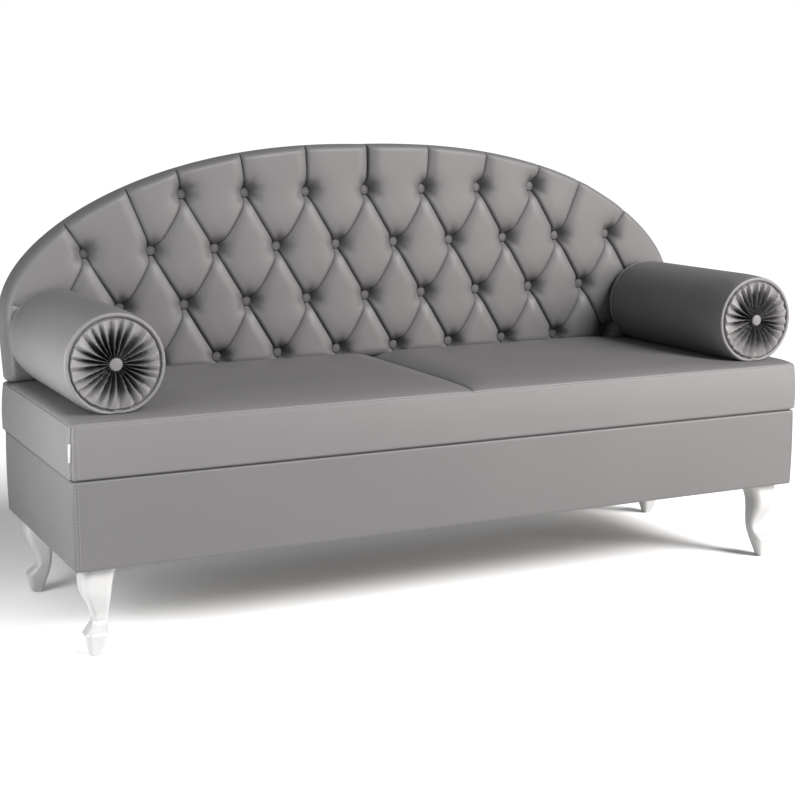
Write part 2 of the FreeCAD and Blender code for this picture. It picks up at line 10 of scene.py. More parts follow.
import bmesh
import bpy
import numpy as np
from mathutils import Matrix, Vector


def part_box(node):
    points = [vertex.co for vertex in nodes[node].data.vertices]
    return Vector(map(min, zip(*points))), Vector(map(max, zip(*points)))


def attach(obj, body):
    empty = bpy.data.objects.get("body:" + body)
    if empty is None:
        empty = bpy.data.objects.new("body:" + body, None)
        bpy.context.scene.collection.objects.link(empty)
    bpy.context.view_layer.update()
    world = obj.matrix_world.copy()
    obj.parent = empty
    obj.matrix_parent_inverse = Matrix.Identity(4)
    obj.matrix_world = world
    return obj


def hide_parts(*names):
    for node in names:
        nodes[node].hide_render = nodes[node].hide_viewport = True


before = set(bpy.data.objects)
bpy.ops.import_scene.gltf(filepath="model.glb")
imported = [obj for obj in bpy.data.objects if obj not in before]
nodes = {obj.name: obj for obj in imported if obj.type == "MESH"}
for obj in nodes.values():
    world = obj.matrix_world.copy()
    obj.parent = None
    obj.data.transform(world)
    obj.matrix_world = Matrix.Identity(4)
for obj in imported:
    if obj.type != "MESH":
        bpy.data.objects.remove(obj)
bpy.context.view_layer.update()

MM = 0.001

# %% [markdown]
# ## The camera
# A product photograph of a sofa is taken from the front left, a little above the seat, with a long lens.
# The place and the angles below were worked out from the corners of the base, the seams and the buttons.

# %% Camera
camera_place = (-1.5824, -3.1590, 1.0310)
camera_turn = 26.185
camera_tilt = 10.132
camera_lens = 71.811

camera = bpy.data.objects.new("camera", bpy.data.cameras.new("camera"))
camera.data.lens = camera_lens
camera.data.sensor_width = 36.0
camera.location = camera_place
camera.rotation_euler = (math.radians(90 - camera_tilt), 0, math.radians(-camera_turn))
bpy.context.scene.collection.objects.link(camera)
bpy.context.scene.camera = camera
print("camera", camera_lens, "mm")

# %% [markdown]
# ## Floor and light
# The sofa stands in a bright white studio. The camera sees a plain white world, which lights the sofa only
# faintly from all sides, so the folds keep their shadows. The key light comes from the front right, as from a
# wide window far away, so the floor is equally bright near and far. A faint soft box on the left fills the
# shadows, a small one close to the left end lights its front corner, and one on the right brightens the right
# half of the front. The floor is a plain pale sheet that belongs to the stage and not to the sofa.

# %% Stage and lights
ambient = 0.36
scene = bpy.context.scene
scene.view_settings.view_transform = "Standard"
scene.world = bpy.data.worlds.new("studio")
scene.world.use_nodes = True
sky = scene.world.node_tree
ray = sky.nodes.new("ShaderNodeLightPath")
level = sky.nodes.new("ShaderNodeMapRange")
level.inputs["To Min"].default_value = ambient
level.inputs["To Max"].default_value = 1.0
sky.links.new(ray.outputs["Is Camera Ray"], level.inputs["Value"])
sky.nodes["Background"].inputs["Color"].default_value = (1, 1, 1, 1)
sky.links.new(level.outputs["Result"], sky.nodes["Background"].inputs["Strength"])


def aimed(name, kind, place, target, energy, color=(1, 1, 1)):
    """A light at a place that looks at a target."""
    lamp = bpy.data.objects.new(name, bpy.data.lights.new(name, kind))
    lamp.location = place
    lamp.rotation_euler = (Vector(target) - Vector(place)).to_track_quat("-Z", "Y").to_euler()
    lamp.data.energy = energy
    lamp.data.color = color
    scene.collection.objects.link(lamp)
    return lamp.data


aimed("key_light", "SUN", (2.4, -4.2, 4.2), (0, 0, 0.5), 4.35).angle = math.radians(24)
aimed("fill_light", "AREA", (-4.2, -1.0, 1.6), (-0.8, 0, 0.5), 8, (0.95, 0.97, 1.0)).size = 2.2
aimed("left_light", "AREA", (-1.35, -0.27, 0.55), (-0.85, -0.22, 0.42), 7.4).size = 0.5
aimed("right_light", "AREA", (2.1, -2.3, 1.3), (0.9, -0.2, 0.5), 95, (1.0, 0.95, 0.91)).size = 1.2
floor_mesh = bpy.data.meshes.new("floor")
floor_mesh.from_pydata([(-60, -60, 0), (60, -60, 0), (60, 60, 0), (-60, 60, 0)], [], [(0, 1, 2, 3)])
floor = bpy.data.objects.new("floor", floor_mesh)
scene.collection.objects.link(floor)
paper = bpy.data.materials.new("studio_paper")
paper.use_nodes = True
paper_shader = paper.node_tree.nodes["Principled BSDF"]
paper_shader.inputs["Base Color"].default_value = (0.93, 0.93, 0.93, 1)
paper_shader.inputs["Roughness"].default_value = 0.9
floor_mesh.materials.append(paper)
print("lights and floor ready")

# %% [markdown]
# ## Turning arrays into pieces
# Every new surface below is worked out as one numpy array of points. These helpers join neighbouring points
# with faces and put the result into a mesh, where points that coincide become one. A closed surface whose
# faces point inwards has a negative volume, so the sign of the volume tells when to turn the faces round.

# %% Mesh helpers
weld_distance = 2e-6
sharp_angle = math.radians(55)


def grid_faces(rows, columns, round_rows=False, round_columns=False):
    """Quads between neighbours of a grid that is stored row by row; a round grid closes on itself."""
    r = np.arange(rows if round_rows else rows - 1)[:, None]
    c = np.arange(columns if round_columns else columns - 1)[None, :]
    r2, c2 = (r + 1) % rows, (c + 1) % columns
    quads = np.stack([r * columns + c, r * columns + c2, r2 * columns + c2, r2 * columns + c], -1)
    return quads.reshape(-1, 4)


def ringed(grid):
    """A grid whose rows are closed rings, as points and quads."""
    return grid.reshape(-1, 3), grid_faces(*grid.shape[:2], round_columns=True)


def many_grids(grids, round_rows=False):
    """Grids of closed rings, of shape (count, rows, columns, 3), as one list of points and one of quads."""
    count, rows, columns = grids.shape[:3]
    one = grid_faces(rows, columns, round_rows, round_columns=True)
    starts = np.arange(count)[:, None, None] * rows * columns
    return grids.reshape(-1, 3), (one[None] + starts).reshape(-1, 4)


def joined(*parts):
    """Several (points, quads) pairs as one pair."""
    starts = np.cumsum([0] + [len(points) for points, _ in parts[:-1]])
    quads = [faces + start for (_, faces), start in zip(parts, starts)]
    return np.concatenate([points for points, _ in parts]), np.concatenate(quads)


def make_piece(name, shape, finish, *replaced, body="sofa", slot="upholstery"):
    """A smooth mesh object at the origin, made from points and quads. It rides on a body and stands for the
    nodes that it replaces."""
    points, quads = shape
    mesh = bpy.data.meshes.new(name)
    mesh.from_pydata(points.tolist(), [], quads.tolist())
    form = bmesh.new()
    form.from_mesh(mesh)
    bmesh.ops.remove_doubles(form, verts=form.verts, dist=weld_distance)
    if form.calc_volume(signed=True) < 0:
        bmesh.ops.reverse_faces(form, faces=form.faces)
    form.to_mesh(mesh)
    form.free()
    mesh.shade_smooth()
    mesh.set_sharp_from_angle(angle=sharp_angle)
    mesh.materials.append(finish)
    piece = bpy.data.objects.new(name, mesh)
    bpy.context.scene.collection.objects.link(piece)
    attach(piece, body)
    if replaced:
        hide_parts(*replaced)
    print(name, len(mesh.vertices), "points", len(mesh.polygons), "faces")
    return piece


# %% [markdown]
# ## Ramps
# Soft shapes are made of a few ramps that go from 0 to 1. `roll` starts upright, as the edge of a cushion
# does, `ease` starts at a slope and levels out, and `step` is level at both ends. Points along a line are
# found by the length gone from its start.


# %% Ramps, spacing and lengths
def roll(distance, width):
    """A quarter of an ellipse: upright at 0, level at the width."""
    return np.sqrt(1 - (1 - np.clip(distance / width, 0, 1)) ** 2)


def ease(distance, width):
    """A parabola that levels out at the width."""
    return 1 - (1 - np.clip(distance / width, 0, 1)) ** 2


def step(value, low, high):
    """A smooth step from 0 at low to 1 at high."""
    t = np.clip((value - low) / (high - low), 0, 1)
    return t * t * (3 - 2 * t)


def spaced(count, crowding=0.75):
    """Numbers from 0 to 1 that lie closer together at both ends."""
    t = np.linspace(0, 1, count)
    return t - crowding * np.sin(2 * np.pi * t) / (2 * np.pi)


def circle(count):
    """Angles at even steps round a circle."""
    return np.arange(count) * 2 * np.pi / count


def lengths_along(line):
    """The length gone at every point of a line, from 0 at its start."""
    return np.concatenate([[0], np.cumsum(np.linalg.norm(np.diff(line, axis=0), axis=1))])


def points_along(line, gone, length):
    """The points of a line at some lengths along it, between its own points on a straight line."""
    return np.stack([np.interp(length, gone, column) for column in line.T], -1)


# %% [markdown]
# ## Finishes
# Each finish is a principled shader fed by noise on Object coordinates, so that a pattern has a real scale in
# metres and stays with its piece. What is the same all over is set on the shader's own sockets.


# %% Finish helpers
cloud_low, cloud_high = 0.3, 0.7


def node_of(tree, kind, output, **inputs):
    """One output of a new shader node. An input that is a socket is linked, and any other is a value."""
    node = tree.nodes.new("ShaderNode" + kind)
    for key, value in inputs.items():
        socket = node.inputs[key.replace("_", " ")]
        if isinstance(value, bpy.types.NodeSocket):
            tree.links.new(value, socket)
        else:
            socket.default_value = value
    return node.outputs[output]


def start_finish(name, **constants):
    """A material with constant values on its principled shader, and its node tree, shader and coordinates."""
    finish = bpy.data.materials.new(name)
    finish.use_nodes = True
    tree = finish.node_tree
    shader = tree.nodes["Principled BSDF"]
    for key, value in constants.items():
        shader.inputs[key.replace("_", " ")].default_value = value
    place = tree.nodes.new("ShaderNodeTexCoord").outputs["Object"]
    return finish, tree, shader, place


def noise_of(tree, place, scale, detail=3.0):
    """Cloudy noise with that many clouds to the metre."""
    return node_of(tree, "TexNoise", 0, Vector=place, Scale=scale, Detail=detail)


def stretched(tree, place, scale):
    """Coordinates that are scaled apart along each axis, for grain and weave."""
    return node_of(tree, "Mapping", "Vector", Vector=place, Scale=scale)


def between(tree, source, low, high):
    """Cloudy noise spread over a range; most of the noise lies between the two cloud values."""
    return node_of(tree, "MapRange", "Result", Value=source, From_Min=cloud_low, From_Max=cloud_high,
                   To_Min=low, To_Max=high)


def shades(tree, source, dark, light):
    """Cloudy noise as a colour between two shades."""
    node = tree.nodes.new("ShaderNodeValToRGB")
    for stop, position, shade in zip(node.color_ramp.elements, (cloud_low, cloud_high), (dark, light)):
        stop.position = position
        stop.color = (*shade, 1)
    tree.links.new(source, node.inputs["Fac"])
    return node.outputs["Color"]


def bumped(tree, shader, source, depth, strength):
    """Raise the surface by a source."""
    relief = node_of(tree, "Bump", "Normal", Height=source, Distance=depth, Strength=strength)
    tree.links.new(relief, shader.inputs["Normal"])


# %% [markdown]
# ## Artificial leather
# The cover is a smooth coated fabric: an even mid grey with a satin gloss, a fine pebble grain that only
# shows close up, and slight clouds where the coat is thicker. The grain is a bump of small round cells.


# %% Leather
leather_hue = np.array([1.0, 0.968, 0.985])
cloud_scale, cloud_range = 4.0, (0.97, 1.03)
gloss_scale, gloss_range = 30.0, (0.525, 0.555)
grain_scale, grain_depth, grain_strength = 700.0, 0.25 * MM, 0.25
# Painted shade: how dark the leather's colour turns deep in the folds, as a share of its tint.
painted_shade_darkness = 0.3


def leather(name, grey, painted_fold_shade=None):
    """Coated fabric: clouds of two shades, a satin gloss and a fine pebble grain. The name of an attribute
    that is 1 deep in the folds paints shade there: the colour turns darker, for the shade where little light
    comes in."""
    finish, tree, shader, place = start_finish(name, IOR=1.46)
    tint = leather_hue * grey
    clouds = shades(tree, noise_of(tree, place, cloud_scale), tint * cloud_range[0], tint * cloud_range[1])
    # Painted shade: where the fold attribute is 1 the colour is mixed towards a dark copy of the tint.
    if painted_fold_shade:
        mix = tree.nodes.new("ShaderNodeMix")
        mix.data_type = "RGBA"
        mix.inputs["B"].default_value = (*(tint * painted_shade_darkness), 1)
        deep = tree.nodes.new("ShaderNodeAttribute")
        deep.attribute_name = painted_fold_shade
        tree.links.new(deep.outputs["Fac"], mix.inputs["Factor"])
        tree.links.new(clouds, mix.inputs["A"])
        clouds = mix.outputs["Result"]
    tree.links.new(clouds, shader.inputs["Base Color"])
    gloss = between(tree, noise_of(tree, place, gloss_scale), *gloss_range)
    tree.links.new(gloss, shader.inputs["Roughness"])
    pebbles = node_of(tree, "TexVoronoi", "Distance", Vector=place, Scale=grain_scale)
    bumped(tree, shader, pebbles, grain_depth, grain_strength)
    return finish


def noisy(name, dark, light, scale, relief, detail=2.0, grain=None, roughness=0.95):
    """Two shades of a noise that also raises the surface by a depth and a strength; a grain draws it out."""
    finish, tree, shader, place = start_finish(name, Roughness=roughness)
    place = stretched(tree, place, grain) if grain else place
    pores = noise_of(tree, place, scale, detail)
    tree.links.new(shades(tree, pores, dark, light), shader.inputs["Base Color"])
    bumped(tree, shader, pores, *relief)
    return finish


def rough_cloth(name, dark, light, scale, roughness=0.95):
    """Foam, webbing, felt and twine: a fine noise."""
    return noisy(name, dark, light, scale, (0.6 * MM, 0.5), roughness=roughness)


leather_grey = 0.105
upholstery = leather("grey_artificial_leather", leather_grey)
thread = leather("grey_sewing_thread", leather_grey * 1.7)
piping_leather = leather("grey_piping_leather", leather_grey * 1.2)
# Painted highlight and shade: the gathers take a lighter copy of the leather, and the fold attribute paints
# shade deep in their folds.
gather_leather_painted_light = leather("grey_gathered_leather_painted_light_and_shade", leather_grey * 1.3, "painted_fold_shade")
# Painted shade: the back's buttons take a darker copy of the leather, for the shade in their pits.
button_leather_painted_shade = leather("grey_button_leather_painted_shade", leather_grey * 0.50)
# Painted shade: the base takes a darker copy of the leather, for the shade that falls on it.
base_leather_painted_shade = leather("grey_base_leather_painted_shade", leather_grey * 0.84)
# Painted shade: the back takes a darker copy of the leather, for the shade that falls on its pillows.
back_leather_painted_shade = leather("grey_back_leather_painted_shade", leather_grey * 0.87)
foam = rough_cloth("upholstery_foam", (0.70, 0.66, 0.50), (0.82, 0.79, 0.64), 900.0)
print("leather and foam ready")

# %% [markdown]
# ## The buttoned back
# Deep buttoning ties a soft pad to a board at every button. The spare cloth between four buttons folds under
# the pillow above it, so each pillow ends below in a rounded lip and starts above under its neighbour's lip.
# Between two buttons the fold is a curve that sags a little. One patch is made for every pillow: its outline
# is filled with a Coons patch, and its depth is a product of ramps of the distance to each fold.

# %% Places of the back
row_counts = (7, 10, 11, 10)
row_boxes = [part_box("back_buttons_row_%d" % (row + 1)) for row in range(len(row_counts))]
button_radius = (row_boxes[0][1].z - row_boxes[0][0].z) / 2
button_seat = row_boxes[0][1].y
column_step = (row_boxes[0][1].x - button_radius) / (row_counts[0] - 1)
row_levels = [(low.z + high.z) / 2 for low, high in row_boxes]
back_low, back_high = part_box("back_buttoned_cover")
board_low, board_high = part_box("back_board")
back_drop = 4 * MM
arch_half, arch_low, arch_top = back_high.x, back_low.z - back_drop, back_high.z
spring = row_levels[2]
shoulder_ease = 5 * MM, 9 * MM
side_draw = 6 * MM
side_points = 40

buttons = {}
for row, count in enumerate(row_counts):
    for column in range(1 - count, count, 2):
        buttons[row, column] = np.array([column * column_step, row_levels[row]])
button_places = np.array(list(buttons.values()))
print("buttons:", len(buttons))


# %% The outline of the back
def arch_outline(count=1200):
    """Up the left side, over half an ellipse, down the right side and back along the bottom.
    The ellipse is eased: a little flatter at the shoulders and fuller towards the crown. Each side is drawn
    in towards its foot by a parabola."""
    angle = np.linspace(np.pi, 0, count)
    from_side = np.minimum(angle, np.pi - angle)
    rise = arch_top - spring
    normal = np.stack([np.cos(angle) / arch_half, np.sin(angle) / rise], -1)
    normal /= np.linalg.norm(normal, axis=1, keepdims=True)
    arch = np.stack([arch_half * np.cos(angle), spring + rise * np.sin(angle)], -1)
    eased = np.where((angle > np.pi / 2) | (from_side > np.pi / 4), *shoulder_ease)
    arch -= normal * (eased * np.sin(4 * from_side))[:, None]
    side = np.linspace(arch_low, spring, side_points + 1)[:-1]
    drawn = arch_half - side_draw * ((spring - side) / (spring - arch_low)) ** 2
    left = np.stack([-drawn, side], -1)
    return np.concatenate([left, arch, left[::-1] * [-1, 1], left[:1]])


outline = arch_outline()
outline_length = lengths_along(outline)
whole_outline = outline_length[-1]


def on_outline(length):
    """The outline's point at a length from its lower left corner; the outline closes on itself."""
    return points_along(outline, outline_length, np.mod(length, whole_outline))


# %% [markdown]
# The pleats of the outer buttons run to the nearest point of the outline, and those of the lowest row run
# straight down. Going round the border from button to button gives the pillows along the edge.

# %% Folds between buttons
fold_cells = 36
pleat_cells = 40
fold_sag = 4 * MM
last_row = len(row_counts) - 1
plain_row = 2


def fold(key_a, key_b):
    """The fold from one button to another: a straight line that sags downwards by a parabola."""
    a, b = buttons[key_a], buttons[key_b]
    t = spaced(fold_cells + 1)[:, None]
    across = np.array([a[1] - b[1], b[0] - a[0]])
    down = across * (-np.sign(across[1]) / np.linalg.norm(across))
    return a + (b - a) * t + down * fold_sag * 4 * t * (1 - t)


def pleat_end(key):
    """How far along the outline a border button's pleat ends."""
    x, z = buttons[key]
    if key[0] == last_row:
        return whole_outline - (x + arch_half - side_draw)
    open_edge = outline_length < outline_length[-2]
    far = np.linalg.norm(outline - [x, z], axis=1)
    return outline_length[np.argmin(np.where(open_edge, far, np.inf))]


first_column = [1 - count for count in row_counts]
left_side = [(row, first_column[row]) for row in (3, 2, 1)] + [(1, first_column[1] + 2)]
top_side = [(0, column) for column in range(first_column[0], row_counts[0], 2)]
right_side = [(row, -column) for row, column in reversed(left_side)]
bottom_side = [(last_row, column) for column in range(-first_column[3] - 2, first_column[3], -2)]
border = left_side + top_side + right_side + bottom_side
print("border buttons:", len(border), "outline", round(whole_outline, 3), "m")


# %% Patches of the back
def coons(bottom, top, left, right):
    """Fill four edges: the two ruled surfaces added up, less the flat one through the corners."""
    u = np.linspace(0, 1, len(bottom))[None, :, None]
    v = np.linspace(0, 1, len(left))[:, None, None]
    ruled = (1 - v) * bottom[None] + v * top[None] + (1 - u) * left[:, None] + u * right[:, None]
    low = (1 - u) * bottom[0] + u * bottom[-1]
    high = (1 - u) * top[0] + u * top[-1]
    return ruled - (1 - v) * low - v * high


def diamond(row, column):
    """The pillow between four buttons, and its folds with a mark on those that it overhangs."""
    north, east, south, west = (row - 1, column), (row, column + 1), (row + 1, column), (row, column - 1)
    sides = fold(west, south), fold(north, east), fold(west, north), fold(south, east)
    return coons(*sides), [(sides[0], True), (sides[1], False), (sides[2], False), (sides[3], True)]


def border_patch(key_a, key_b):
    """The pillow between two border buttons and the outline. The pleats of the plain row are tight creases,
    marked with None."""
    (row_a, column_a), (row_b, column_b) = key_a, key_b
    low = row_a == row_b == last_row
    if row_a == row_b:
        inner = (row_a + (-1 if low else 1), (column_a + column_b) // 2)
        folds = [fold(key_a, inner), fold(inner, key_b)]
    else:
        folds = [fold(key_a, key_b)]
    bottom = np.concatenate([folds[0]] + [f[1:] for f in folds[1:]])
    start, end = pleat_end(key_a), pleat_end(key_b)
    start -= whole_outline * (start > end)
    rim = on_outline(start + (end - start) * np.linspace(0, 1, len(bottom)))
    t = spaced(pleat_cells + 1)[:, None]
    left = buttons[key_a] + (rim[0] - buttons[key_a]) * t
    right = buttons[key_b] + (rim[-1] - buttons[key_b]) * t
    overhangs = not low and (row_a, row_b) not in ((3, 2), (2, 3))
    middle = (column_a + column_b) / 2
    seams = [(f, overhangs) for f in folds]
    seams.append((left, None if row_a == plain_row else middle < 0 and not low))
    seams.append((right, None if row_b == plain_row else middle > 0 and not low))
    return coons(bottom, rim, left, right), seams


diamonds = [diamond(1, c) for c in range(-6, 7, 2)] + [diamond(2, c) for c in range(-9, 10, 2)]
neighbours = list(zip(border, border[1:] + border[:1]))
edges = [border_patch(a, b) for a, b in neighbours]
print("pillows:", len(diamonds), "inside and", len(edges), "round the border")

# %% [markdown]
# Depths are measured forward from the front of the board. A fold lies deep at its buttons and rises between
# them, and the pillow swells from the fold to its crown. On the upper side the cloth stands up steeply and
# leans over the fold; on the lower side it climbs slowly, so that a thin shadow line is left between the two.

# %% Depth of the back
fold_depth = 42 * MM
crown_depth = 52 * MM
dip_depth, dip_width = 8 * MM, 34 * MM
pit_depth, pit_width = 27 * MM, 17.5 * MM
crease_depth, crease_width = 10 * MM, 1.4 * MM
lip_share = 0.65
lip_width = 7 * MM
swell_width = 32 * MM
tight_width = 3 * MM
tight_share = 0.15
tight_reach = 28 * MM, 48 * MM
lip_reach = 4.5 * MM
lip_place = 2.5 * MM
lip_start, lip_full = 12 * MM, 28 * MM
pucker_count, pucker_turn = 7, 2.4
pucker_height, pucker_place, pucker_width = 1.2 * MM, 22 * MM, 12 * MM
rim_depth = 27 * MM
rim_roll = 15 * MM
rim_crease = 0.3 * crease_depth
rim_shift = 12 * MM
bottom_roll = 24 * MM
bottom_share = 0.62


def to_line(points, line):
    """Distance and unit direction from every point to the nearest point of a line of segments."""
    a, b = line[:-1], line[1:]
    ab = b - a
    t = np.einsum("psk,sk->ps", points[:, None] - a[None], ab) / np.einsum("sk,sk->s", ab, ab)
    near = a[None] + np.clip(t, 0, 1)[..., None] * ab[None]
    gap = near - points[:, None]
    size = np.linalg.norm(gap, axis=2)
    best = np.argmin(size, axis=1)
    pick = np.arange(len(points))
    return size[pick, best], gap[pick, best] / np.maximum(size[pick, best], 1e-9)[:, None]


def tufted(patch, seams, rimmed):
    """Lift one flat patch: folds, lips, pits and puckers at the buttons, and the roll over the outline.
    The last row of a patch at the border lies on the outline."""
    flat = patch.reshape(-1, 2)
    from_buttons = flat[:, None] - button_places[None]
    ways = np.linalg.norm(from_buttons, axis=2)
    nearest = np.argmin(ways, axis=1)
    away = ways[np.arange(len(flat)), nearest]
    free = step(away, lip_start, lip_full)
    height = np.ones(len(flat))
    crease = np.zeros(len(flat))
    shift = np.zeros_like(flat)
    for line, overhangs in seams:
        distance, towards = to_line(flat, line)
        firm = 1 - (1 - tight_share) * step(away, *tight_reach) * (overhangs is None)
        crease = np.maximum(crease, firm * np.exp(-distance / crease_width))
        if overhangs:
            height *= (1 - lip_share) * ease(distance, swell_width) + lip_share * ease(distance, lip_width)
            lean = lip_reach * distance / lip_place * np.exp(1 - distance / lip_place)
            shift += towards * (lean * free)[:, None]
        else:
            height *= 1 - firm * (1 - ease(distance, tight_width if overhangs is None else swell_width))
    depth = fold_depth + (crown_depth - fold_depth) * height - crease_depth * crease * free
    depth -= dip_depth * np.exp(-((away / dip_width) ** 2)) + pit_depth * np.exp(-((away / pit_width) ** 2))
    step_out = from_buttons[np.arange(len(flat)), nearest]
    turn = np.arctan2(step_out[:, 1], step_out[:, 0])
    round_button = np.exp(-(((away - pucker_place) / pucker_width) ** 2))
    pucker = np.sin(pucker_count * turn + pucker_turn * nearest) * round_button
    depth += pucker_height * pucker * height
    to_edge, _ = to_line(flat, outline[:-1:6])
    if rimmed:
        to_edge[-patch.shape[1]:] = 0
    depth = rim_depth - rim_crease * crease + (depth - rim_depth) * roll(to_edge, rim_roll)
    depth *= bottom_share + (1 - bottom_share) * roll(flat[:, 1] - arch_low, bottom_roll)
    placed = flat + shift * roll(to_edge, rim_shift)[:, None]
    points = np.stack([placed[:, 0], board_low.y - depth, placed[:, 1]], -1)
    return points.reshape(*patch.shape[:2], 3)


def outward(grid):
    """A grid whose faces look to the front: its rows are turned round if they look the other way."""
    a, b = grid[1, 0] - grid[0, 0], grid[0, 1] - grid[0, 0]
    return grid if np.cross(b, a)[1] < 0 else grid[::-1]


pillow_grids = [tufted(*one, False) for one in diamonds]
rimmed = [(a[0], b[0]) != (last_row, last_row) for a, b in neighbours]
edge_grids = [tufted(*one, rim) for one, rim in zip(edges, rimmed)]
print("pillow front", round(min(g[..., 1].min() for g in pillow_grids), 4))

# %% [markdown]
# Behind the pillows the cover goes back over the edge of the board and is turned in behind it. That part is a
# set of rings, each the outline drawn in by some distance at some depth. The inside is closed flat against
# the padding, so that the cover and its filling are one closed form.

# %% The turned edge of the back
rim_line = np.concatenate([g[-1, :-1] for g in edge_grids])


def ring(inset, y):
    """The rim drawn in towards the middle, at one depth."""
    before, after = np.roll(rim_line, 1, axis=0), np.roll(rim_line, -1, axis=0)
    along = (after - before)[:, [0, 2]]
    along /= np.maximum(np.linalg.norm(along, axis=1, keepdims=True), 1e-9)
    drawn = rim_line.copy()
    drawn[:, 0] += along[:, 1] * inset
    drawn[:, 2] -= along[:, 0] * inset
    drawn[:, 1] = y
    return drawn


padding_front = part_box("back_padding")[0].y
turned_in = [(0.0, board_low.y), (0.0, board_high.y - 4 * MM), (1.2 * MM, board_high.y - 1 * MM)]
turned_in += [(4 * MM, board_high.y), (9.6 * MM, board_high.y), (9.6 * MM, padding_front)]
rings = np.stack([rim_line] + [ring(inset, y) for inset, y in turned_in])
middle = np.broadcast_to(rings[-1].mean(0), rings[-1].shape)
wall = np.concatenate([rings, middle[None]])[:, ::-1]
back_parts = [(outward(g).reshape(-1, 3), grid_faces(*g.shape[:2])) for g in pillow_grids + edge_grids]
back_parts.append(ringed(wall))
# The pillows take the darker copy of the leather, painted shade.
back_cover = make_piece("back_buttoned_pillows", joined(*back_parts), back_leather_painted_shade, "back_buttoned_cover")

# %% [markdown]
# ## Covered buttons
# A covered button is a shallow dome with a piece of the same leather drawn round its edge. A profile of
# radius and height turned round an axis makes one, and the same profile set at every place makes a row.


# %% Buttons of the back
button_face, button_dome, button_bend = 0.72, 0.08, 0.42
button_cover = 1.2 * MM


def turned(radii, heights, around=40):
    """A profile turned round: points (rings, around, 3) as radius times cosine, height, radius times sine."""
    angle = circle(around)
    x = radii[:, None] * np.cos(angle)
    z = radii[:, None] * np.sin(angle)
    return np.stack([x, np.broadcast_to(heights[:, None], x.shape), z], -1)


def button_profile(radius, height):
    """From the middle of a nearly flat face over a rounded edge and an upright side to the back's middle."""
    face = np.linspace(0, button_face, 6)
    bend = np.linspace(0, np.pi / 2, 8)[1:]
    radii = np.concatenate([face, button_face + (1 - button_face) * np.sin(bend), [1.0, 0.97, 0.9, 0.0]])
    edge = 1 - button_dome - button_bend * (1 - np.cos(bend))
    heights = np.concatenate([1 - button_dome * (face / button_face) ** 2, edge, [0.2, 0.06, 0.0, 0.0]])
    return radius * radii, height * heights


button_height = button_seat - row_boxes[0][0].y
button_shape = turned(*button_profile(button_radius + button_cover, button_height))
button_shape[..., 1] *= -1
# The buttons are drawn in the darker copy of the leather, painted shade.
for row in range(len(row_counts)):
    places = np.array([[x, button_seat, z] for (r, _), (x, z) in buttons.items() if r == row])
    row_grids = button_shape[None] + places[:, None, None]
    make_piece("back_covered_buttons_row_%d" % (row + 1), many_grids(row_grids), button_leather_painted_shade,
               "back_buttons_row_%d" % (row + 1))

# %% [markdown]
# ## The seat panels
# Two panels of leather lie over the foam and meet in a seam across the middle. Each rises steeply from its
# seams and then swells slowly to a crown. The top is a height over a grid; the underside is flat, and a strip
# round the edge closes it. The front corners of the grid are pulled in to a small radius.

# %% Places of the seat
panel_low, panel_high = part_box("seat_right_top")
seat_half, seat_front, seat_rear = panel_high.x, panel_low.y, panel_high.y
border_top, base_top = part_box("seat_front_border")[1].z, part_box("seat_front_rail")[0].z
seam_level = border_top + 4 * MM
corner_radius = 12 * MM
panel_edge = 9 * MM
panel_edge_roll = 46 * MM
panel_end_roll = 20 * MM
panel_inset = 2 * MM
valley_roll = 34 * MM
valley_floor = 0.72
valley_groove, groove_width = 0.30, 2 * MM
panel_crown = 14 * MM
front_swell, rear_swell, valley_swell = 0.16, 0.10, 0.08
bolster_room = 0.10, 0.28
bolster_share = 0.18
panel_sink, sink_start, sink_end = 0.62, -16 * MM, 10 * MM


def rounded_corner(x, y, half, front, radius):
    """Pull the square corners of a plan in to a radius: each ring of a square becomes a ring of a circle."""
    side = np.sign(x)
    a = np.clip(radius - (half - np.abs(x)), 0, None)
    b = np.clip(radius - (y - front), 0, None)
    far = np.hypot(a, b)
    pull = np.where(far > 0, np.maximum(a, b) / np.maximum(far, 1e-12), 1)
    both = (a > 0) & (b > 0)
    return np.where(both, side * (half - radius + a * pull), x), np.where(both, front + radius - b * pull, y)


def slab(top, bottom):
    """A closed form from two grids of the same shape: top, underside and a strip round the edge."""
    rows, columns = top.shape[:2]
    index = np.arange(rows * columns).reshape(rows, columns)
    loop = np.concatenate([index[0, :-1], index[:-1, -1], index[-1, :0:-1], index[:0:-1, 0]])
    under = loop + rows * columns
    strip = np.stack([loop, under, np.roll(under, -1), np.roll(loop, -1)], -1)
    quads = grid_faces(rows, columns)
    points = np.concatenate([top.reshape(-1, 3), bottom.reshape(-1, 3)])
    return points, np.concatenate([quads, quads[:, ::-1] + rows * columns, strip])


